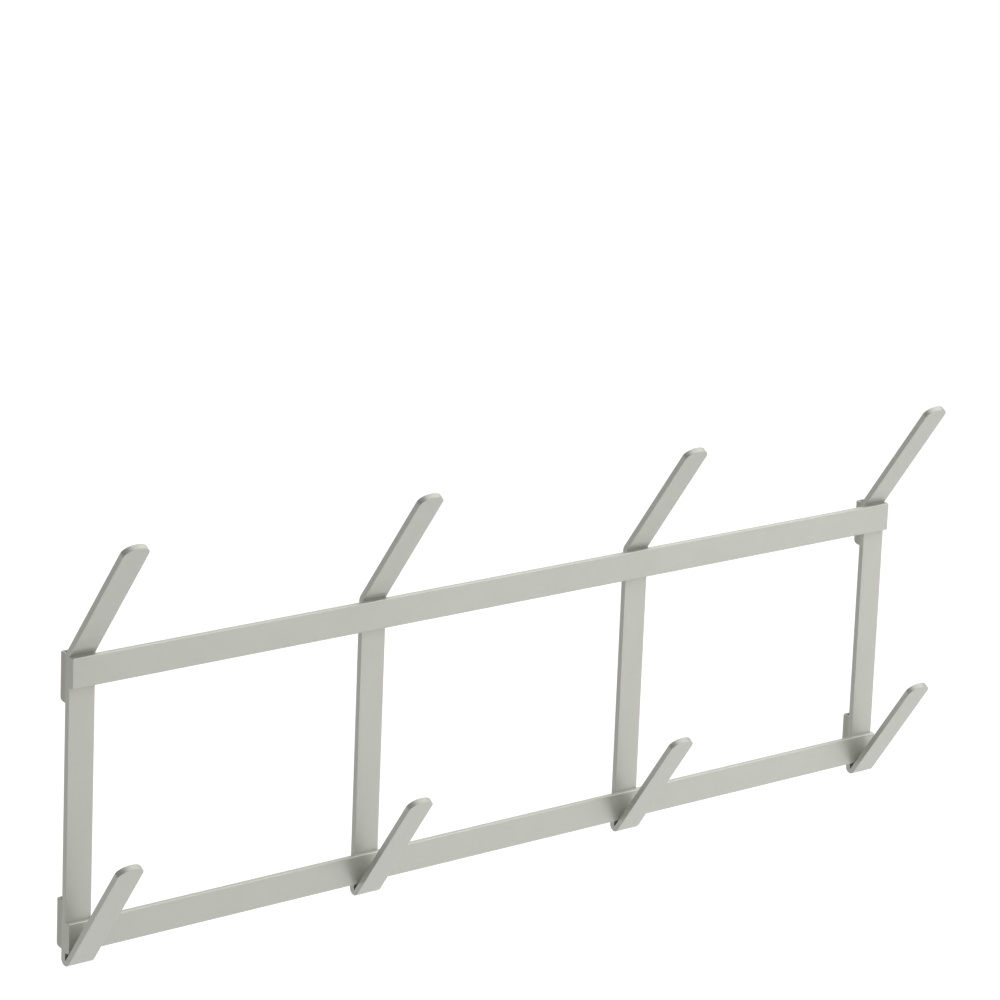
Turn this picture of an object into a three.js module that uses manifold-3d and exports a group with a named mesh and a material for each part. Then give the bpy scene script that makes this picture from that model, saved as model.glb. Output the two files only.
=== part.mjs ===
// A wall coat rack of welded flat bar: four bent uprights, each with a hat hook at the top and a
// folded coat hook at the bottom, two rails across their fronts, and four keyhole brackets behind
// the end uprights. Millimetres, X along the rails, +Y into the wall, Z up. The origin lies on the
// wall, midway between the four screws that the rack hangs on.
import * as THREE from 'three';
import { mergeVertices } from 'three/addons/utils/BufferGeometryUtils.js';
import Module from 'manifold-3d';

// The bar that uprights and rails are cut from.
const BAR_WIDTH = 20;
const BAR_THICKNESS = 4;
const RAIL_EDGE_RADIUS = 0.75;

// The frame: the rails' heights are those of their top edges.
const UPRIGHT_COUNT = 4;
const UPRIGHT_PITCH = 236;
const RAIL_SPACING = 174.5;

// The hooks: lean from the vertical, bend corners and lengths on the middle of the bar. Their tips
// are half ovals, of the given depth.
const HAT_HOOK_LEAN = THREE.MathUtils.degToRad(35.25);
const HAT_HOOK_LENGTH = 99.5;
const HAT_HOOK_INNER_RADIUS = 3;
const HAT_HOOK_BEND_ABOVE_RAIL = 1;
const COAT_HOOK_LEAN = THREE.MathUtils.degToRad(34.75);
const COAT_HOOK_LENGTH = 101.5;
const COAT_HOOK_INNER_RADIUS = 0.5;
const COAT_HOOK_FOLD_BELOW_RAIL = 32.25;
const TIP_DEPTH = 6.5;

// The wall brackets: folded sheet channels that stand the end uprights off the wall.
const BRACKET_DEPTH = 7;
const BRACKET_HEIGHT = 32;
const BRACKET_SHEET = 2;
const BRACKET_BEND_RADIUS = 3;
const BRACKET_LOWER_CORNER_RADIUS = 6;
const UPPER_BRACKET_ABOVE_RAIL = 1.5;
const LOWER_BRACKET_ABOVE_RAIL = 14;
const KEYHOLE_ENTRY_RADIUS = 5;
const KEYHOLE_SLOT_RADIUS = 2.5;
const KEYHOLE_ENTRY_HEIGHT = 13;
const KEYHOLE_SEAT_HEIGHT = 22;

// The welds.
const SEAM_WELD_LEG = 1;
const RAIL_WELD_LEG = 3;
const RAIL_WELD_LENGTH = 13;
const RAIL_WELD_BULGE = 0.35;

// How finely round stretches are divided, and how far a cutter reaches past what it cuts.
const BEND_STEPS = 10;
const CORNER_STEPS = 6;
const CUT_MARGIN = 1;

// Depths from the wall.
const UPRIGHT_BACK = -BRACKET_DEPTH;
const UPRIGHT_FRONT = UPRIGHT_BACK - BAR_THICKNESS;
const UPRIGHT_MIDDLE = UPRIGHT_BACK - BAR_THICKNESS / 2;
const RAIL_FRONT = UPRIGHT_FRONT - BAR_THICKNESS;

// Heights, from the middle of the screw seats.
const BRACKET_SPACING = RAIL_SPACING + UPPER_BRACKET_ABOVE_RAIL - LOWER_BRACKET_ABOVE_RAIL;
const UPPER_BRACKET_BOTTOM = BRACKET_SPACING / 2 - KEYHOLE_SEAT_HEIGHT;
const LOWER_BRACKET_BOTTOM = -BRACKET_SPACING / 2 - KEYHOLE_SEAT_HEIGHT;
const TOP_RAIL_TOP = UPPER_BRACKET_BOTTOM + BRACKET_HEIGHT - UPPER_BRACKET_ABOVE_RAIL;
const BOTTOM_RAIL_TOP = TOP_RAIL_TOP - RAIL_SPACING;
const RAIL_LENGTH = UPRIGHT_PITCH * (UPRIGHT_COUNT - 1) + BAR_WIDTH;

const wasm = await Module();
wasm.setup();

const ACROSS = new THREE.Vector3(1, 0, 0);
const INTO_WALL = new THREE.Vector3(0, 1, 0);
const UP = new THREE.Vector3(0, 0, 1);

// One material a mesh: satin steel with a warm grey cast.
function satinSteel() {
  return new THREE.MeshStandardMaterial({ color: 0xbbbbb3, roughness: 0.45, metalness: 0.9 });
}

function namedMesh(name, geometry) {
  const mesh = new THREE.Mesh(geometry, satinSteel());
  mesh.name = name;
  return mesh;
}

// A solid of the given outline, thick along the cross product of its two axes, middle at the origin.
function slab(shape, thickness, xAxis, yAxis) {
  const geometry = new THREE.ExtrudeGeometry(shape, {
    depth: thickness,
    bevelEnabled: false,
    curveSegments: CORNER_STEPS,
  });
  geometry.translate(0, 0, -thickness / 2);
  const normal = new THREE.Vector3().crossVectors(xAxis, yAxis);
  geometry.applyMatrix4(new THREE.Matrix4().makeBasis(xAxis, yAxis, normal));
  return geometry;
}

function toManifold(geometry) {
  const bare = geometry.clone();
  bare.deleteAttribute('normal');
  bare.deleteAttribute('uv');
  const merged = mergeVertices(bare, 1e-4);
  return new wasm.Manifold(new wasm.Mesh({
    numProp: 3,
    vertProperties: new Float32Array(merged.attributes.position.array),
    triVerts: new Uint32Array(merged.index.array),
  }));
}

// The geometry with every cutter taken out of it.
function cut(geometry, cutters) {
  const solid = cutters.reduce((left, cutter) => left.subtract(toManifold(cutter)), toManifold(geometry));
  const { vertProperties, triVerts } = solid.getMesh();
  const result = new THREE.BufferGeometry();
  result.setAttribute('position', new THREE.BufferAttribute(new Float32Array(vertProperties), 3));
  result.setIndex(new THREE.BufferAttribute(new Uint32Array(triVerts), 1));
  result.computeVertexNormals();
  return result;
}

function rectangleShape(low, high, cornerRadius) {
  const shape = new THREE.Shape();
  const quarter = Math.PI / 2;
  shape.absarc(high.x - cornerRadius, low.y + cornerRadius, cornerRadius, -quarter, 0);
  shape.absarc(high.x - cornerRadius, high.y - cornerRadius, cornerRadius, 0, quarter);
  shape.absarc(low.x + cornerRadius, high.y - cornerRadius, cornerRadius, quarter, 2 * quarter);
  shape.absarc(low.x + cornerRadius, low.y + cornerRadius, cornerRadius, 2 * quarter, 3 * quarter);
  shape.closePath();
  return shape;
}

// The side outline of a bar that follows straight runs between corners, with a round bend at each
// inner corner. Radii are those of the bar's middle line.
function bentBarShape(corners, bendRadii) {
  const stations = [];
  const addStation = (point, direction) => {
    stations.push({ point, side: new THREE.Vector2(-direction.y, direction.x) });
  };
  const runs = corners.slice(1).map((corner, i) => corner.clone().sub(corners[i]).normalize());
  addStation(corners[0], runs[0]);
  bendRadii.forEach((radius, i) => {
    const [before, after] = [runs[i], runs[i + 1]];
    const turn = Math.atan2(before.cross(after), before.dot(after));
    const tangent = radius * Math.tan(Math.abs(turn) / 2);
    const start = corners[i + 1].clone().addScaledVector(before, -tangent);
    const towardsCentre = new THREE.Vector2(-before.y, before.x).multiplyScalar(Math.sign(turn) * radius);
    const centre = start.clone().add(towardsCentre);
    for (let step = 0; step <= BEND_STEPS; step += 1) {
      const angle = turn * step / BEND_STEPS;
      const origin = new THREE.Vector2();
      const spoke = towardsCentre.clone().negate().rotateAround(origin, angle);
      addStation(centre.clone().add(spoke), before.clone().rotateAround(origin, angle));
    }
  });
  addStation(corners[corners.length - 1], runs[runs.length - 1]);
  const half = BAR_THICKNESS / 2;
  const left = stations.map(({ point, side }) => point.clone().addScaledVector(side, half));
  const right = stations.map(({ point, side }) => point.clone().addScaledVector(side, -half));
  return new THREE.Shape([...left, ...right.reverse()]);
}

// What is cut off a square bar end to leave a tip in the shape of a half oval, tip at the origin.
function tipCutterShape() {
  const half = BAR_WIDTH / 2;
  const shape = new THREE.Shape();
  shape.moveTo(-half - CUT_MARGIN, -TIP_DEPTH);
  shape.absellipse(0, -TIP_DEPTH, half, TIP_DEPTH, Math.PI, Math.PI / 2, true);
  shape.absellipse(0, -TIP_DEPTH, half, TIP_DEPTH, Math.PI / 2, 0, true);
  shape.lineTo(half + CUT_MARGIN, -TIP_DEPTH);
  shape.lineTo(half + CUT_MARGIN, 2 * CUT_MARGIN);
  shape.lineTo(-half - CUT_MARGIN, 2 * CUT_MARGIN);
  shape.closePath();
  return shape;
}

// An upright: hat hook, straight run and coat hook in one bent strip, in the plane of Y and Z.
function uprightGeometry() {
  const hatCorner = new THREE.Vector2(UPRIGHT_MIDDLE, TOP_RAIL_TOP + HAT_HOOK_BEND_ABOVE_RAIL);
  const foldCorner = new THREE.Vector2(UPRIGHT_MIDDLE, BOTTOM_RAIL_TOP - COAT_HOOK_FOLD_BELOW_RAIL);
  const hatRun = new THREE.Vector2(-Math.sin(HAT_HOOK_LEAN), Math.cos(HAT_HOOK_LEAN));
  const coatRun = new THREE.Vector2(-Math.sin(COAT_HOOK_LEAN), Math.cos(COAT_HOOK_LEAN));
  const hatTip = hatCorner.clone().addScaledVector(hatRun, HAT_HOOK_LENGTH);
  const coatTip = foldCorner.clone().addScaledVector(coatRun, COAT_HOOK_LENGTH);
  const shape = bentBarShape(
    [
      hatTip.clone().addScaledVector(hatRun, CUT_MARGIN),
      hatCorner,
      foldCorner,
      coatTip.clone().addScaledVector(coatRun, CUT_MARGIN),
    ],
    [HAT_HOOK_INNER_RADIUS + BAR_THICKNESS / 2, COAT_HOOK_INNER_RADIUS + BAR_THICKNESS / 2],
  );
  const cutters = [[hatTip, hatRun], [coatTip, coatRun]].map(([tip, run]) => {
    const along = new THREE.Vector3(0, run.x, run.y);
    const cutter = slab(tipCutterShape(), BAR_THICKNESS + 2 * CUT_MARGIN, ACROSS, along);
    return cutter.translate(0, tip.x, tip.y);
  });
  return cut(slab(shape, BAR_WIDTH, INTO_WALL, UP), cutters);
}

// A rail: a straight bar with eased edges, its back on the fronts of the uprights.
function railGeometry(top) {
  const low = new THREE.Vector2(RAIL_FRONT, top - BAR_WIDTH);
  const high = new THREE.Vector2(UPRIGHT_FRONT, top);
  return slab(rectangleShape(low, high, RAIL_EDGE_RADIUS), RAIL_LENGTH, INTO_WALL, UP);
}

// A bracket's section: back plate on the wall, two flanges forward to the upright, whose outer
// edges are chamfered for the seam welds.
function bracketSection() {
  const half = BAR_WIDTH / 2;
  const innerHalf = half - BRACKET_SHEET;
  const outer = BRACKET_BEND_RADIUS;
  const inner = BRACKET_BEND_RADIUS - BRACKET_SHEET;
  const shape = new THREE.Shape();
  shape.moveTo(half - SEAM_WELD_LEG, UPRIGHT_BACK);
  shape.lineTo(half, UPRIGHT_BACK + SEAM_WELD_LEG);
  shape.absarc(half - outer, -outer, outer, 0, Math.PI / 2);
  shape.absarc(-half + outer, -outer, outer, Math.PI / 2, Math.PI);
  shape.lineTo(-half, UPRIGHT_BACK + SEAM_WELD_LEG);
  shape.lineTo(-half + SEAM_WELD_LEG, UPRIGHT_BACK);
  shape.lineTo(-innerHalf, UPRIGHT_BACK);
  shape.absarc(-innerHalf + inner, -outer, inner, Math.PI, Math.PI / 2, true);
  shape.absarc(innerHalf - inner, -outer, inner, Math.PI / 2, 0, true);
  shape.lineTo(innerHalf, UPRIGHT_BACK);
  shape.closePath();
  return shape;
}

// The keyhole in the back plate: a round entry for the screw's head and a slot up to its seat.
function keyholeShape() {
  const shoulder = Math.acos(KEYHOLE_SLOT_RADIUS / KEYHOLE_ENTRY_RADIUS);
  const shape = new THREE.Shape();
  shape.absarc(0, KEYHOLE_SEAT_HEIGHT, KEYHOLE_SLOT_RADIUS, 0, Math.PI);
  shape.absarc(0, KEYHOLE_ENTRY_HEIGHT, KEYHOLE_ENTRY_RADIUS, Math.PI - shoulder, 2 * Math.PI + shoulder);
  shape.closePath();
  return shape;
}

// What is cut off the lower wall-side corner of a bracket to round it.
function bracketCornerShape() {
  const radius = BRACKET_LOWER_CORNER_RADIUS;
  const shape = new THREE.Shape();
  shape.moveTo(CUT_MARGIN, -CUT_MARGIN);
  shape.lineTo(CUT_MARGIN, radius);
  shape.absarc(-radius, radius, radius, 0, -Math.PI / 2, true);
  shape.lineTo(-radius, -CUT_MARGIN);
  shape.closePath();
  return shape;
}

// A bracket with its lower end at height zero.
function bracketGeometry() {
  const channel = slab(bracketSection(), BRACKET_HEIGHT, ACROSS, INTO_WALL);
  channel.translate(0, 0, BRACKET_HEIGHT / 2);
  const keyhole = slab(keyholeShape(), 2 * (BRACKET_SHEET + CUT_MARGIN), ACROSS, UP);
  const corner = slab(bracketCornerShape(), BAR_WIDTH + 2 * CUT_MARGIN, INTO_WALL, UP);
  return cut(channel, [keyhole, corner]);
}

// A seam weld that fills a flange's chamfer flush with the bracket's side: side is -1 or 1.
function seamWeldGeometry(side) {
  const outer = side * BAR_WIDTH / 2;
  const shape = new THREE.Shape([
    new THREE.Vector2(outer, UPRIGHT_BACK),
    new THREE.Vector2(outer, UPRIGHT_BACK + SEAM_WELD_LEG),
    new THREE.Vector2(outer - side * SEAM_WELD_LEG, UPRIGHT_BACK),
  ]);
  const weld = slab(shape, BRACKET_HEIGHT, ACROSS, INTO_WALL);
  return weld.translate(0, 0, BRACKET_HEIGHT / 2);
}

// A fillet weld in the corner between an upright's side and the back of a rail, middle at height zero.
function railWeldGeometry(side) {
  const root = new THREE.Vector2(side * BAR_WIDTH / 2, UPRIGHT_FRONT);
  const railToe = root.clone().add(new THREE.Vector2(side * RAIL_WELD_LEG, 0));
  const uprightToe = root.clone().add(new THREE.Vector2(0, RAIL_WELD_LEG));
  const face = railToe.clone().add(uprightToe).multiplyScalar(0.5);
  const crown = face.add(new THREE.Vector2(side, 1).multiplyScalar(2 * RAIL_WELD_BULGE));
  const shape = new THREE.Shape();
  shape.moveTo(root.x, root.y);
  shape.lineTo(railToe.x, railToe.y);
  shape.quadraticCurveTo(crown.x, crown.y, uprightToe.x, uprightToe.y);
  shape.closePath();
  return slab(shape, RAIL_WELD_LENGTH, ACROSS, INTO_WALL);
}

const rack = new THREE.Group();
const rails = [['top', TOP_RAIL_TOP], ['bottom', BOTTOM_RAIL_TOP]];
const sides = [['left', -1], ['right', 1]];

for (const [railName, railTop] of rails) {
  rack.add(namedMesh(`${railName}_rail`, railGeometry(railTop)));
}

for (let i = 0; i < UPRIGHT_COUNT; i += 1) {
  const hook = new THREE.Group();
  hook.position.x = (i - (UPRIGHT_COUNT - 1) / 2) * UPRIGHT_PITCH;
  hook.add(namedMesh(`upright_${i + 1}`, uprightGeometry()));
  for (const [railName, railTop] of rails) {
    for (const [sideName, side] of sides) {
      // The end uprights are flush with the rails' ends, so they are welded on one side only.
      const neighbour = i + side;
      if (neighbour >= 0 && neighbour < UPRIGHT_COUNT) {
        const weld = namedMesh(`rail_weld_${i + 1}_${railName}_${sideName}`, railWeldGeometry(side));
        weld.position.z = railTop - BAR_WIDTH / 2;
        hook.add(weld);
      }
    }
  }
  rack.add(hook);
}

for (const [sideName, side] of sides) {
  for (const [level, bottom] of [['upper', UPPER_BRACKET_BOTTOM], ['lower', LOWER_BRACKET_BOTTOM]]) {
    const bracket = new THREE.Group();
    bracket.position.set(side * (RAIL_LENGTH - BAR_WIDTH) / 2, 0, bottom);
    bracket.add(namedMesh(`wall_bracket_${level}_${sideName}`, bracketGeometry()));
    for (const [weldName, weldSide] of sides) {
      bracket.add(namedMesh(`bracket_weld_${level}_${sideName}_${weldName}`, seamWeldGeometry(weldSide)));
    }
    rack.add(bracket);
  }
}

export default rack;
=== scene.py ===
from math import cos, radians, sin, tan

import bmesh
import bpy
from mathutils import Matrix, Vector


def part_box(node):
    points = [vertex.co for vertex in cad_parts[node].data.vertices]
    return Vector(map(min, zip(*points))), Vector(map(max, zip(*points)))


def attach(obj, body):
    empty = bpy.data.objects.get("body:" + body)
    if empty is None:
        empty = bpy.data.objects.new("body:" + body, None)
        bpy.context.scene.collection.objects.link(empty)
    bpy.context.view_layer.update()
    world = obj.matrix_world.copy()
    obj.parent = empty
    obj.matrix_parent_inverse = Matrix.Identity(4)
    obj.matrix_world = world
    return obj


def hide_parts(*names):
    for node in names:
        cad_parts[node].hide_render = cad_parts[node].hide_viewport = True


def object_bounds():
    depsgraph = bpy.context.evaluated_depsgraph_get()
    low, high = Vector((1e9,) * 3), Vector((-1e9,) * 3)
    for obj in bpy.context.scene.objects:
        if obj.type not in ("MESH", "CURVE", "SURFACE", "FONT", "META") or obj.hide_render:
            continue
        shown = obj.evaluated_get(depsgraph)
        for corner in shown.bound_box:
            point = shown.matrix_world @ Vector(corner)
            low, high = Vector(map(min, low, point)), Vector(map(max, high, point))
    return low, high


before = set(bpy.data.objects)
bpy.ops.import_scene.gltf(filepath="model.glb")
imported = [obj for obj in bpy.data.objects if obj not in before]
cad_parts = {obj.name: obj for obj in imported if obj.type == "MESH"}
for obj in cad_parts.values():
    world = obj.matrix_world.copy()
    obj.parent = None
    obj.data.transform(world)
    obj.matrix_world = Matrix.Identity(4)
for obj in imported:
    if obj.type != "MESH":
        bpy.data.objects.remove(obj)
cad_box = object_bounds()
bpy.ops.object.select_all(action="DESELECT")


# The camera stands in front of the rack's left end and a little above it, with a long lens, and is
# turned slightly about its own axis, as the photograph shows.
bpy.ops.object.camera_add(
    location=(-1.9180, -2.1451, 0.8610),
    rotation=(radians(75.889), radians(-2.233), radians(-41.220)),
)
camera = bpy.context.object
camera.data.sensor_width = 36
camera.data.lens = 158.64
bpy.context.scene.camera = camera


# The uprights are lengths of stock flat bar in satin stainless steel. Each is bent forward at the
# top into a hat hook and folded back up at the bottom into a coat hook; its tips are rounded on a
# belt, its edges are eased and the whole of it is blasted to an even, soft sheen.
upright_low, upright_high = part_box("upright_1")
top_rail_low, top_rail_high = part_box("top_rail")
bottom_rail_low, bottom_rail_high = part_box("bottom_rail")
BAR_WIDTH = upright_high.x - upright_low.x
BAR_THICKNESS = top_rail_high.y - top_rail_low.y
BAR_EASED_EDGE = 0.0003
HAT_HOOK_LEAN = radians(35.25)
HAT_HOOK_LENGTH = 0.0995
HAT_HOOK_INNER_RADIUS = 0.003
HAT_HOOK_BEND_ABOVE_RAIL = 0.001
COAT_HOOK_LEAN = radians(34.75)
COAT_HOOK_LENGTH = 0.1015
COAT_HOOK_INNER_RADIUS = 0.0005
COAT_HOOK_FOLD_BELOW_RAIL = 0.03225
TIP_DEPTH = 0.0065
TIP_STEPS = 16
BEND_STEPS = 24
EASED_EDGE_STEPS = 3
SQUARE_EDGE_ANGLE = radians(60)
SMOOTH_ANGLE = radians(40)
LEVEL_ANGLE = radians(0.5)
FACING = 0.9
TOUCHING = 1e-5
MERGING = 1e-7


def add_block(name, low, high):
    """A cube stretched over the box from low to high, with its place in its mesh."""
    bpy.ops.object.select_all(action="DESELECT")
    bpy.ops.mesh.primitive_cube_add(size=1, location=(low + high) / 2)
    block = bpy.context.object
    block.name = name
    block.scale = high - low
    bpy.ops.object.transform_apply(location=True, rotation=True, scale=True)
    return block


def select_faces(test):
    """Selects, in edit mode, the faces whose middle and normal pass the test."""
    bpy.ops.mesh.select_mode(type="FACE")
    bpy.ops.mesh.select_all(action="DESELECT")
    mesh = bmesh.from_edit_mesh(bpy.context.object.data)
    for face in mesh.faces:
        face.select_set(test(face.calc_center_median(), face.normal))
    bmesh.update_edit_mesh(bpy.context.object.data)


def select_edges(test):
    """Selects, in edit mode, the edges whose two ends pass the test."""
    bpy.ops.mesh.select_mode(type="EDGE")
    bpy.ops.mesh.select_all(action="DESELECT")
    mesh = bmesh.from_edit_mesh(bpy.context.object.data)
    for edge in mesh.edges:
        edge.select_set(test(edge.verts[0].co, edge.verts[1].co))
    bmesh.update_edit_mesh(bpy.context.object.data)


def draw_out_hook(middle, run, length):
    """Extrudes the selected end of the bar along run, the last stretch narrowing to a half oval."""
    bpy.ops.mesh.extrude_region_move(TRANSFORM_OT_translate={"value": run * (length - TIP_DEPTH)})
    reach = 0
    width = 1
    for step in range(1, TIP_STEPS + 1):
        next_reach = sin(radians(90) * step / TIP_STEPS)
        next_width = cos(radians(90) * step / TIP_STEPS)
        rise = run * TIP_DEPTH * (next_reach - reach)
        bpy.ops.mesh.extrude_region_move(TRANSFORM_OT_translate={"value": rise})
        bpy.ops.transform.resize(value=(next_width / width, 1, 1), center_override=middle)
        reach = next_reach
        width = next_width


def keep_flats(piece):
    """Smooths a piece's round stretches, with normals that keep its flats flat."""
    bpy.ops.object.shade_smooth_by_angle(angle=SMOOTH_ANGLE)
    flats = piece.modifiers.new("flat_faces", "WEIGHTED_NORMAL")
    flats.keep_sharp = True
    bpy.ops.object.modifier_apply(modifier=flats.name)


def ease_edges(piece, radius):
    """Rounds every square edge of a piece and smooths it."""
    bpy.ops.object.select_all(action="DESELECT")
    piece.select_set(True)
    bpy.context.view_layer.objects.active = piece
    edges = piece.modifiers.new("eased_edges", "BEVEL")
    edges.width = radius
    edges.segments = EASED_EDGE_STEPS
    edges.limit_method = "ANGLE"
    edges.angle_limit = SQUARE_EDGE_ANGLE
    edges.use_clamp_overlap = False
    bpy.ops.object.modifier_apply(modifier=edges.name)
    keep_flats(piece)


def copy_piece(piece, name, offset):
    """A copy of a finished piece with a mesh of its own, moved by offset."""
    bpy.ops.object.select_all(action="DESELECT")
    piece.select_set(True)
    bpy.context.view_layer.objects.active = piece
    bpy.ops.object.duplicate(linked=False)
    copy = bpy.context.object
    copy.name = name
    bpy.ops.transform.translate(value=offset)
    bpy.ops.object.transform_apply(location=True, rotation=False, scale=False)
    return copy


METAL_SHARE = 0.32
CLOUD_SCALE = 40
CLOUD_DETAIL = 4
# The next five values set a painted highlight: a lighter colour along the eased edges.
EDGE_HIGHLIGHT_RADIUS = 0.0006
EDGE_HIGHLIGHT_FROM = 0.99
EDGE_HIGHLIGHT_FULL = 0.9
EDGE_HIGHLIGHT_SHARE = 0.5
EDGE_HIGHLIGHT_GAIN = 1.15
GRAIN_SCALE = 1600
GRAIN_DETAIL = 2
GRAIN_STRENGTH = 0.12
GRAIN_DEPTH = 0.0001
SHEEN_VARIATION = 0.05


def satin_steel(name, tone, shade, roughness):
    """Blasted stainless steel: a faintly clouded grey, a fine grain, and a painted highlight that
    lightens the colour along the edges.
    """
    material = bpy.data.materials.new(name)
    material.use_nodes = True
    nodes = material.node_tree.nodes
    links = material.node_tree.links
    shader = nodes["Principled BSDF"]
    shader.inputs["Metallic"].default_value = METAL_SHARE
    place = nodes.new("ShaderNodeTexCoord")

    clouds = nodes.new("ShaderNodeTexNoise")
    clouds.inputs["Scale"].default_value = CLOUD_SCALE
    clouds.inputs["Detail"].default_value = CLOUD_DETAIL
    links.new(place.outputs["Object"], clouds.inputs["Vector"])
    clouded = nodes.new("ShaderNodeMix")
    clouded.data_type = "RGBA"
    clouded.inputs["A"].default_value = (*shade, 1)
    clouded.inputs["B"].default_value = (*tone, 1)
    links.new(clouds.outputs["Fac"], clouded.inputs["Factor"])

    # Painted highlight: the base colour is lightened where the bevel normal turns away from the true
    # normal, which happens along the eased edges.
    geometry = nodes.new("ShaderNodeNewGeometry")
    rounded_over = nodes.new("ShaderNodeBevel")
    rounded_over.inputs["Radius"].default_value = EDGE_HIGHLIGHT_RADIUS
    turned_away = nodes.new("ShaderNodeVectorMath")
    turned_away.operation = "DOT_PRODUCT"
    links.new(geometry.outputs["True Normal"], turned_away.inputs[0])
    links.new(rounded_over.outputs["Normal"], turned_away.inputs[1])
    painted_edge_highlight = nodes.new("ShaderNodeMapRange")
    painted_edge_highlight.inputs["From Min"].default_value = EDGE_HIGHLIGHT_FROM
    painted_edge_highlight.inputs["From Max"].default_value = EDGE_HIGHLIGHT_FULL
    painted_edge_highlight.inputs["To Max"].default_value = EDGE_HIGHLIGHT_SHARE
    links.new(turned_away.outputs["Value"], painted_edge_highlight.inputs["Value"])
    edge_lightened = nodes.new("ShaderNodeMix")
    edge_lightened.data_type = "RGBA"
    edge_lightened.inputs["B"].default_value = (*(EDGE_HIGHLIGHT_GAIN * part for part in tone), 1)
    links.new(painted_edge_highlight.outputs["Result"], edge_lightened.inputs["Factor"])
    links.new(clouded.outputs["Result"], edge_lightened.inputs["A"])
    links.new(edge_lightened.outputs["Result"], shader.inputs["Base Color"])

    grain = nodes.new("ShaderNodeTexNoise")
    grain.inputs["Scale"].default_value = GRAIN_SCALE
    grain.inputs["Detail"].default_value = GRAIN_DETAIL
    links.new(place.outputs["Object"], grain.inputs["Vector"])
    sheen = nodes.new("ShaderNodeMapRange")
    sheen.inputs["To Min"].default_value = roughness - SHEEN_VARIATION
    sheen.inputs["To Max"].default_value = roughness + SHEEN_VARIATION
    links.new(clouds.outputs["Fac"], sheen.inputs["Value"])
    links.new(sheen.outputs["Result"], shader.inputs["Roughness"])
    blasted = nodes.new("ShaderNodeBump")
    blasted.inputs["Strength"].default_value = GRAIN_STRENGTH
    blasted.inputs["Distance"].default_value = GRAIN_DEPTH
    links.new(grain.outputs["Fac"], blasted.inputs["Height"])
    links.new(blasted.outputs["Normal"], shader.inputs["Normal"])
    return material


bar_steel = satin_steel(
    "satin_bar_steel", tone=(0.53, 0.535, 0.49), shade=(0.48, 0.485, 0.44), roughness=0.42
)

upright_front = top_rail_high.y
upright_back = upright_front + BAR_THICKNESS
upright_middle = Vector(((upright_low.x + upright_high.x) / 2, (upright_front + upright_back) / 2, 0))
half_bar = BAR_THICKNESS / 2
hat_bend_setback = (HAT_HOOK_INNER_RADIUS + half_bar) * tan(HAT_HOOK_LEAN / 2)
fold_setback = (COAT_HOOK_INNER_RADIUS + half_bar) / tan(COAT_HOOK_LEAN / 2)
hat_bend_height = top_rail_high.z + HAT_HOOK_BEND_ABOVE_RAIL - hat_bend_setback
fold_height = bottom_rail_high.z - COAT_HOOK_FOLD_BELOW_RAIL + fold_setback
hat_run = Vector((0, -sin(HAT_HOOK_LEAN), cos(HAT_HOOK_LEAN)))
coat_run = Vector((0, -sin(COAT_HOOK_LEAN), cos(COAT_HOOK_LEAN)))

first_upright = add_block(
    "upright_bar_1",
    Vector((upright_low.x, upright_front, fold_height)),
    Vector((upright_high.x, upright_back, hat_bend_height)),
)
bpy.ops.object.mode_set(mode="EDIT")
select_faces(lambda middle, normal: normal.z > FACING)
bpy.ops.mesh.spin(
    steps=BEND_STEPS,
    dupli=False,
    angle=HAT_HOOK_LEAN,
    center=(upright_middle.x, upright_front - HAT_HOOK_INNER_RADIUS, hat_bend_height),
    axis=(-1, 0, 0),
)
draw_out_hook(upright_middle, hat_run, HAT_HOOK_LENGTH - hat_bend_setback)
select_faces(lambda middle, normal: normal.z < -FACING and middle.z < fold_height + TOUCHING)
bpy.ops.mesh.spin(
    steps=BEND_STEPS,
    dupli=False,
    angle=radians(180) - COAT_HOOK_LEAN,
    center=(upright_middle.x, upright_front - COAT_HOOK_INNER_RADIUS, fold_height),
    axis=(1, 0, 0),
)
draw_out_hook(upright_middle, coat_run, COAT_HOOK_LENGTH - fold_setback)
bpy.ops.mesh.select_all(action="SELECT")
bpy.ops.mesh.remove_doubles(threshold=MERGING)
bpy.ops.mesh.dissolve_limited(angle_limit=LEVEL_ANGLE)
bpy.ops.mesh.normals_make_consistent(inside=False)
bpy.ops.object.mode_set(mode="OBJECT")
ease_edges(first_upright, BAR_EASED_EDGE)
first_upright.data.materials.append(bar_steel)

uprights = [first_upright]
for number in (2, 3, 4):
    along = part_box(f"upright_{number}")[0].x - upright_low.x
    uprights.append(copy_piece(first_upright, f"upright_bar_{number}", (along, 0, 0)))
for number, upright in enumerate(uprights, start=1):
    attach(upright, "root")
    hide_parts(f"upright_{number}")


# The two rails are straight lengths of the same bar, laid across the fronts of the uprights and cut
# flush with the outer edges of the end ones. Their long edges are rounded; their ends are ground
# level with the uprights' sides, with only the front corner eased.
RAIL_EDGE_RADIUS = 0.00075
RAIL_EDGE_STEPS = 4
RAIL_END_EASED = 0.0003
RAIL_END_STEPS = 3

for rail_name, low, high in (
    ("top_rail", top_rail_low, top_rail_high),
    ("bottom_rail", bottom_rail_low, bottom_rail_high),
):
    rail = add_block(f"{rail_name}_bar", low, high)
    bpy.ops.object.mode_set(mode="EDIT")
    select_edges(lambda a, b: abs(a.x - b.x) > BAR_WIDTH)
    bpy.ops.mesh.bevel(offset=RAIL_EDGE_RADIUS, segments=RAIL_EDGE_STEPS, affect="EDGES")
    select_edges(lambda a, b: abs(a.x - b.x) < TOUCHING and max(a.y, b.y) < high.y - RAIL_EDGE_RADIUS)
    bpy.ops.mesh.bevel(offset=RAIL_END_EASED, segments=RAIL_END_STEPS, affect="EDGES")
    bpy.ops.object.mode_set(mode="OBJECT")
    keep_flats(rail)
    rail.data.materials.append(bar_steel)
    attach(rail, "root")
    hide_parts(rail_name)


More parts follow.
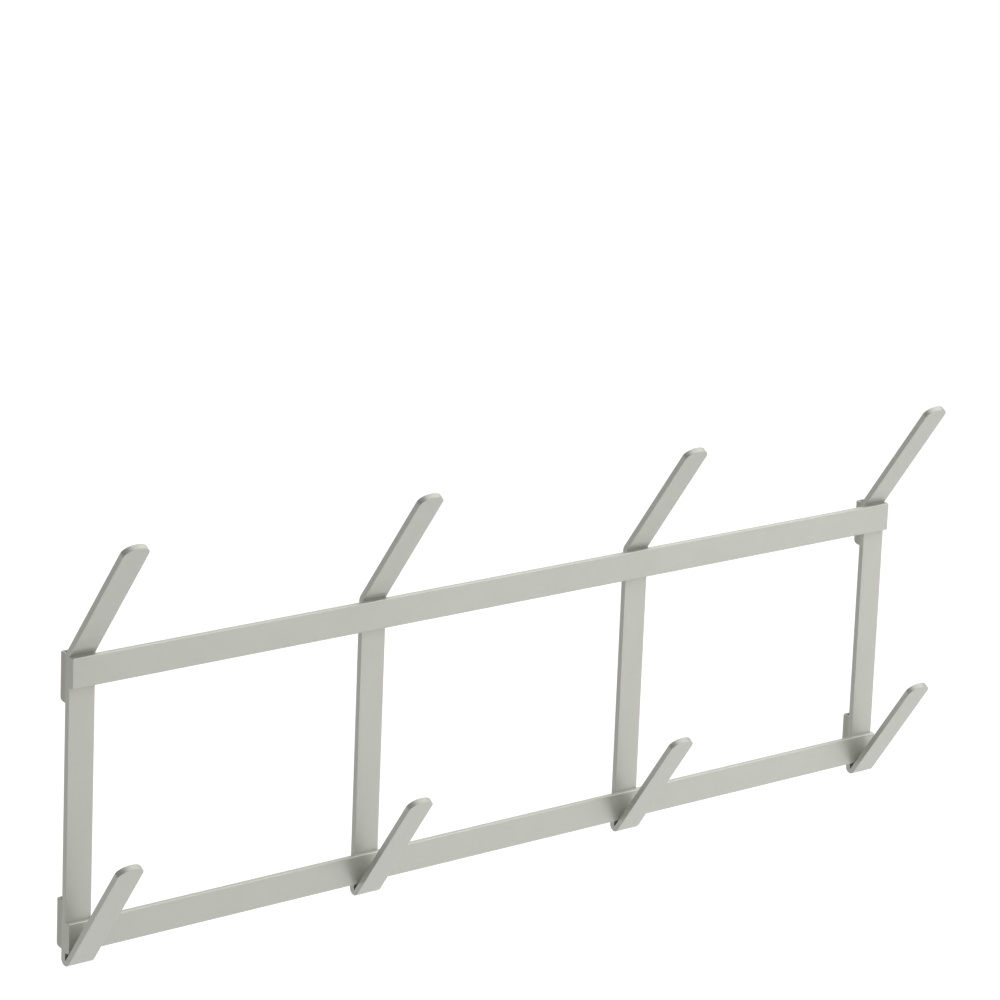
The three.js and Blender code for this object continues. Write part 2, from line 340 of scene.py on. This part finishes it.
# The rail welds are short fillet beads behind the rails, in the corners beside the uprights, where
# they don't show from the front. Each was laid upwards in one pass, which left a row of ripples,
# and was then blasted with the rest of the rack.
RAIL_WELD_LEG = 0.003
RAIL_WELD_LENGTH = 0.013
RAIL_WELD_RIPPLES = 13
RIPPLE_HEIGHT = 0.04
BEAD_ROOT_SETBACK = 0.0015
BEAD_SIDES = 64
BEAD_END_WIDTH = 0.8
BEAD_SHOULDER_WIDTH = 0.9
BEAD_SMOOTH_ANGLE = radians(50)
bead_radius = Vector((RAIL_WELD_LEG + BEAD_ROOT_SETBACK, BEAD_ROOT_SETBACK)).length
weld_steel = satin_steel(
    "blasted_weld_steel", tone=(0.46, 0.46, 0.42), shade=(0.38, 0.38, 0.35), roughness=0.46
)


def add_rail_bead(name, side_x, direction):
    """A rippled bead in the corner of an upright's side and the top rail's back."""
    rail_back = top_rail_high.y
    middle_z = (top_rail_low.z + top_rail_high.z) / 2
    axis = Vector((side_x - direction * BEAD_ROOT_SETBACK, rail_back - BEAD_ROOT_SETBACK, 0))
    step = RAIL_WELD_LENGTH / (2 * RAIL_WELD_RIPPLES)
    start_z = middle_z - RAIL_WELD_LENGTH / 2 + step / 2
    bpy.ops.object.select_all(action="DESELECT")
    bpy.ops.mesh.primitive_cylinder_add(
        vertices=BEAD_SIDES,
        radius=bead_radius * BEAD_END_WIDTH,
        depth=step,
        location=axis + Vector((0, 0, start_z)),
    )
    bead = bpy.context.object
    bead.name = name
    bpy.ops.object.transform_apply(location=True, rotation=True, scale=True)
    bpy.ops.object.mode_set(mode="EDIT")
    select_faces(lambda middle, normal: normal.z > FACING)
    width = BEAD_END_WIDTH
    for ring in range(1, 2 * RAIL_WELD_RIPPLES):
        next_width = 1 - RIPPLE_HEIGHT * (ring % 2)
        if ring in (1, 2 * RAIL_WELD_RIPPLES - 1):
            next_width = BEAD_SHOULDER_WIDTH
        growth = next_width / width
        bpy.ops.mesh.extrude_region_move(TRANSFORM_OT_translate={"value": (0, 0, step)})
        bpy.ops.transform.resize(value=(growth, growth, 1), center_override=axis)
        width = next_width
    for on_plane, outward in (
        (Vector((side_x, 0, 0)), Vector((-direction, 0, 0))),
        (Vector((0, rail_back, 0)), Vector((0, -1, 0))),
    ):
        bpy.ops.mesh.select_all(action="SELECT")
        bpy.ops.mesh.bisect(plane_co=on_plane, plane_no=outward, use_fill=True, clear_outer=True)
    bpy.ops.mesh.select_all(action="SELECT")
    bpy.ops.mesh.normals_make_consistent(inside=False)
    bpy.ops.object.mode_set(mode="OBJECT")
    bpy.ops.object.shade_smooth_by_angle(angle=BEAD_SMOOTH_ANGLE)
    bead.data.materials.append(weld_steel)
    return bead


for side_name, direction, numbers in (("right", 1, (1, 2, 3)), ("left", -1, (2, 3, 4))):
    first_node = f"rail_weld_{numbers[0]}_top_{side_name}"
    left_side, right_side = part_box(f"upright_{numbers[0]}")
    side_x = right_side.x if direction > 0 else left_side.x
    first_bead = add_rail_bead(f"rail_bead_{numbers[0]}_top_{side_name}", side_x, direction)
    for number in numbers:
        for rail_name in ("top", "bottom"):
            node = f"rail_weld_{number}_{rail_name}_{side_name}"
            bead = first_bead
            if node != first_node:
                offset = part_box(node)[0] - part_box(first_node)[0]
                bead = copy_piece(first_bead, f"rail_bead_{number}_{rail_name}_{side_name}", offset)
            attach(bead, "root")
            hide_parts(node)


# The wall brackets are short channels folded from steel sheet, welded behind the end uprights to
# stand the rack off the wall. The back plate of each has a keyhole: the screw's head goes in at
# the round end, and the rack drops until the slot rests on the screw.
bracket_low, bracket_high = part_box("wall_bracket_upper_left")
BRACKET_CORNERS = ("upper_left", "lower_left", "upper_right", "lower_right")
BRACKET_SHEET = 0.002
BRACKET_BEND_RADIUS = 0.003
BRACKET_LOWER_CORNER_RADIUS = 0.006
BRACKET_CURVE_STEPS = 8
BRACKET_EASED_EDGE = 0.0003
FLANGE_CHAMFER = 0.001
KEYHOLE_ENTRY_RADIUS = 0.005
KEYHOLE_SLOT_RADIUS = 0.0025
KEYHOLE_ENTRY_HEIGHT = 0.013
KEYHOLE_SEAT_HEIGHT = 0.022
KEYHOLE_ENTRY_SIDES = 48
KEYHOLE_SEAT_STEPS = 12
NEARLY_HALF_ROUND = 0.999
# The sheet's colour is darker than the bars': painted shade, standing for the shade that falls on the
# brackets where they stand against the wall.
darkened_bracket_steel = satin_steel(
    "sheet_steel_with_painted_shade", tone=(0.445, 0.45, 0.39), shade=(0.395, 0.4, 0.34), roughness=0.42
)


def shape_with(piece, tool, operation):
    """Cuts a piece by a tool, or keeps what it shares with it, and clears the tool away."""
    bpy.ops.object.select_all(action="DESELECT")
    bpy.context.view_layer.objects.active = piece
    shaping = piece.modifiers.new("shaped", "BOOLEAN")
    shaping.operation = operation
    shaping.solver = "EXACT"
    shaping.object = tool
    bpy.ops.object.modifier_apply(modifier=shaping.name)
    bpy.data.objects.remove(tool)


first_bracket = add_block("wall_channel_upper_left", bracket_low, bracket_high)
bracket_middle = (bracket_low + bracket_high) / 2
bpy.ops.object.mode_set(mode="EDIT")
select_faces(lambda middle, normal: abs(normal.z) > FACING or normal.y < -FACING)
bpy.ops.mesh.delete(type="FACE")
select_edges(
    lambda a, b: abs(a.z - b.z) > BRACKET_SHEET and min(a.y, b.y) > bracket_high.y - TOUCHING
)
bpy.ops.mesh.bevel(offset=BRACKET_BEND_RADIUS, segments=BRACKET_CURVE_STEPS, affect="EDGES")
bpy.ops.object.mode_set(mode="OBJECT")
sheet = first_bracket.modifiers.new("sheet", "SOLIDIFY")
sheet.thickness = BRACKET_SHEET
sheet.offset = -1
sheet.use_even_offset = True
bpy.ops.object.modifier_apply(modifier=sheet.name)
bpy.ops.object.mode_set(mode="EDIT")
select_edges(
    lambda a, b: abs(a.z - b.z) > BRACKET_SHEET
    and max(a.y, b.y) < bracket_low.y + TOUCHING
    and abs(a.x - bracket_middle.x) > BAR_WIDTH / 2 - TOUCHING
)
bpy.ops.mesh.bevel(offset=FLANGE_CHAMFER, segments=1, affect="EDGES")
bpy.ops.object.mode_set(mode="OBJECT")

rounded = add_block(
    "rounded_lower_corner",
    Vector((bracket_low.x - BRACKET_SHEET, bracket_low.y - BRACKET_SHEET, bracket_low.z)),
    Vector((bracket_high.x + BRACKET_SHEET, bracket_high.y, bracket_high.z + BRACKET_SHEET)),
)
bpy.ops.object.mode_set(mode="EDIT")
select_edges(
    lambda a, b: max(a.z, b.z) < bracket_low.z + TOUCHING and min(a.y, b.y) > bracket_high.y - TOUCHING
)
bpy.ops.mesh.bevel(offset=BRACKET_LOWER_CORNER_RADIUS, segments=BRACKET_CURVE_STEPS, affect="EDGES")
bpy.ops.object.mode_set(mode="OBJECT")
shape_with(first_bracket, rounded, "INTERSECT")

bpy.ops.object.select_all(action="DESELECT")
bpy.ops.mesh.primitive_cylinder_add(
    vertices=KEYHOLE_ENTRY_SIDES,
    radius=KEYHOLE_ENTRY_RADIUS,
    depth=4 * BRACKET_SHEET,
    location=(bracket_middle.x, 0, bracket_low.z + KEYHOLE_ENTRY_HEIGHT),
    rotation=(radians(90), 0, 0),
)
shape_with(first_bracket, bpy.context.object, "DIFFERENCE")
slot_low = Vector((
    bracket_middle.x - KEYHOLE_SLOT_RADIUS,
    -2 * BRACKET_SHEET,
    bracket_low.z + KEYHOLE_ENTRY_HEIGHT,
))
slot_high = Vector((
    bracket_middle.x + KEYHOLE_SLOT_RADIUS,
    2 * BRACKET_SHEET,
    bracket_low.z + KEYHOLE_SEAT_HEIGHT + KEYHOLE_SLOT_RADIUS,
))
slot_tool = add_block("keyhole_slot", slot_low, slot_high)
bpy.ops.object.mode_set(mode="EDIT")
select_edges(lambda a, b: abs(a.y - b.y) > BRACKET_SHEET and min(a.z, b.z) > slot_high.z - TOUCHING)
seat_radius = NEARLY_HALF_ROUND * KEYHOLE_SLOT_RADIUS
bpy.ops.mesh.bevel(offset=seat_radius, segments=KEYHOLE_SEAT_STEPS, affect="EDGES")
bpy.ops.object.mode_set(mode="OBJECT")
shape_with(first_bracket, slot_tool, "DIFFERENCE")
ease_edges(first_bracket, BRACKET_EASED_EDGE)
first_bracket.data.materials.append(darkened_bracket_steel)

for corner in BRACKET_CORNERS:
    bracket = first_bracket
    if corner != "upper_left":
        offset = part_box(f"wall_bracket_{corner}")[0] - bracket_low
        bracket = copy_piece(first_bracket, f"wall_channel_{corner}", offset)
    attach(bracket, "root")
    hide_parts(f"wall_bracket_{corner}")


# The bracket welds fill the grooves between the flanges and the eased edges of the end uprights, and
# are ground flush with the sides of the bars, so that the seams all but disappear.
SEAM_CHAMFER = 0.98 * FLANGE_CHAMFER


def add_seam(name, node):
    """A strip of weld over a flange's chamfer, less what the upright already fills."""
    low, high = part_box(node)
    seam = add_block(name, low - Vector((0, BAR_EASED_EDGE, 0)), high)
    outer_x = low.x if low.x < bracket_middle.x else high.x
    bpy.ops.object.mode_set(mode="EDIT")
    select_edges(
        lambda a, b: abs(a.z - b.z) > FLANGE_CHAMFER
        and abs(a.x - outer_x) > TOUCHING
        and a.y > high.y - TOUCHING
        and b.y > high.y - TOUCHING
    )
    bpy.ops.mesh.bevel(offset=SEAM_CHAMFER, segments=1, affect="EDGES")
    bpy.ops.object.mode_set(mode="OBJECT")
    shape_with(seam, copy_piece(first_upright, "seam_tool", (0, 0, 0)), "DIFFERENCE")
    seam.data.materials.clear()
    seam.data.materials.append(darkened_bracket_steel)
    return seam


for side_name in ("left", "right"):
    first_node = f"bracket_weld_upper_left_{side_name}"
    first_seam = add_seam(f"bracket_seam_upper_left_{side_name}", first_node)
    for corner in BRACKET_CORNERS:
        node = f"bracket_weld_{corner}_{side_name}"
        seam = first_seam
        if node != first_node:
            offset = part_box(node)[0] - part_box(first_node)[0]
            seam = copy_piece(first_seam, f"bracket_seam_{corner}_{side_name}", offset)
        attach(seam, "root")
        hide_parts(node)


# The studio: a plain white floor well below the rack, which hangs clear of it as it does on a wall.
# The floor glows white behind the rack, where the photograph looks, and fades to plain pale paint
# around that. Soft lights stand on the right, in front and behind, and one hangs overhead.
FLOOR_SIZE = 60
FLOOR_BELOW_RACK = 0.5
FLOOR_ROUGHNESS = 0.9
BRIGHT_FLOOR_MIDDLE = (3.6, 4.1, 0)
BRIGHT_FLOOR_RADIUS = 4.2
FADED_FLOOR_RADIUS = 5.4
BRIGHT_FLOOR_GLOW = 0.93
FADED_FLOOR_GLOW = 0.72
BRIGHT_FLOOR_PAINT = (0.22, 0.22, 0.22, 1)
FADED_FLOOR_PAINT = (0.76, 0.76, 0.75, 1)
bpy.ops.object.select_all(action="DESELECT")
floor_height = cad_box[0].z - FLOOR_BELOW_RACK
bpy.ops.mesh.primitive_plane_add(size=FLOOR_SIZE, location=(0, 0, floor_height))
floor = bpy.context.object
floor.name = "floor"
floor_paint = bpy.data.materials.new("white_floor")
floor_paint.use_nodes = True
floor_nodes = floor_paint.node_tree.nodes
floor_links = floor_paint.node_tree.links
floor_paint_shader = floor_nodes["Principled BSDF"]
floor_paint_shader.inputs["Roughness"].default_value = FLOOR_ROUGHNESS
floor_place = floor_nodes.new("ShaderNodeTexCoord")
from_middle = floor_nodes.new("ShaderNodeVectorMath")
from_middle.operation = "DISTANCE"
from_middle.inputs[1].default_value = BRIGHT_FLOOR_MIDDLE
floor_links.new(floor_place.outputs["Object"], from_middle.inputs[0])
fade = floor_nodes.new("ShaderNodeMapRange")
fade.interpolation_type = "SMOOTHSTEP"
fade.inputs["From Min"].default_value = FADED_FLOOR_RADIUS
fade.inputs["From Max"].default_value = BRIGHT_FLOOR_RADIUS
floor_links.new(from_middle.outputs["Value"], fade.inputs["Value"])
painted = floor_nodes.new("ShaderNodeMix")
painted.data_type = "RGBA"
painted.inputs["A"].default_value = FADED_FLOOR_PAINT
painted.inputs["B"].default_value = BRIGHT_FLOOR_PAINT
floor_links.new(fade.outputs["Result"], painted.inputs["Factor"])
floor_links.new(painted.outputs["Result"], floor_paint_shader.inputs["Base Color"])
glow_level = floor_nodes.new("ShaderNodeMapRange")
glow_level.inputs["To Min"].default_value = FADED_FLOOR_GLOW
glow_level.inputs["To Max"].default_value = BRIGHT_FLOOR_GLOW
floor_links.new(fade.outputs["Result"], glow_level.inputs["Value"])
glow = floor_nodes.new("ShaderNodeEmission")
ray = floor_nodes.new("ShaderNodeLightPath")
seen = floor_nodes.new("ShaderNodeMath")
seen.operation = "MAXIMUM"
floor_links.new(ray.outputs["Is Camera Ray"], seen.inputs[0])
floor_links.new(ray.outputs["Is Glossy Ray"], seen.inputs[1])
seen_through = floor_nodes.new("ShaderNodeMath")
seen_through.operation = "MAXIMUM"
floor_links.new(seen.outputs["Value"], seen_through.inputs[0])
floor_links.new(ray.outputs["Is Transmission Ray"], seen_through.inputs[1])
white_share = floor_nodes.new("ShaderNodeMath")
white_share.operation = "MULTIPLY"
floor_links.new(seen_through.outputs["Value"], white_share.inputs[0])
floor_links.new(glow_level.outputs["Result"], white_share.inputs[1])
floor_links.new(white_share.outputs["Value"], glow.inputs["Strength"])
lit_floor = floor_nodes.new("ShaderNodeAddShader")
floor_links.new(floor_paint_shader.outputs["BSDF"], lit_floor.inputs[0])
floor_links.new(glow.outputs["Emission"], lit_floor.inputs[1])
floor_links.new(lit_floor.outputs["Shader"], floor_nodes["Material Output"].inputs["Surface"])
floor.data.materials.append(floor_paint)

ROOM_LEVEL = 0.31
world = bpy.data.worlds.new("grey_room")
bpy.context.scene.world = world
world.use_nodes = True
world.node_tree.nodes["Background"].inputs["Color"].default_value = (1, 1, 1, 1)
world.node_tree.nodes["Background"].inputs["Strength"].default_value = ROOM_LEVEL

for light_name, place, width, power in (
    ("front_soft_light", Vector((2.3, -2.6, 1.25)), 2.6, 54),
    ("overhead_soft_light", Vector((0.9, -0.1, 1.85)), 3.0, 42),
    ("back_soft_light", Vector((2.4, 2.6, 1.3)), 2.4, 14),
):
    bpy.ops.object.light_add(type="AREA", location=place)
    soft_light = bpy.context.object
    soft_light.name = light_name
    soft_light.rotation_euler = (-place).to_track_quat("-Z", "Y").to_euler()
    soft_light.data.size = width
    soft_light.data.energy = power

bpy.context.scene.view_settings.view_transform = "Standard"
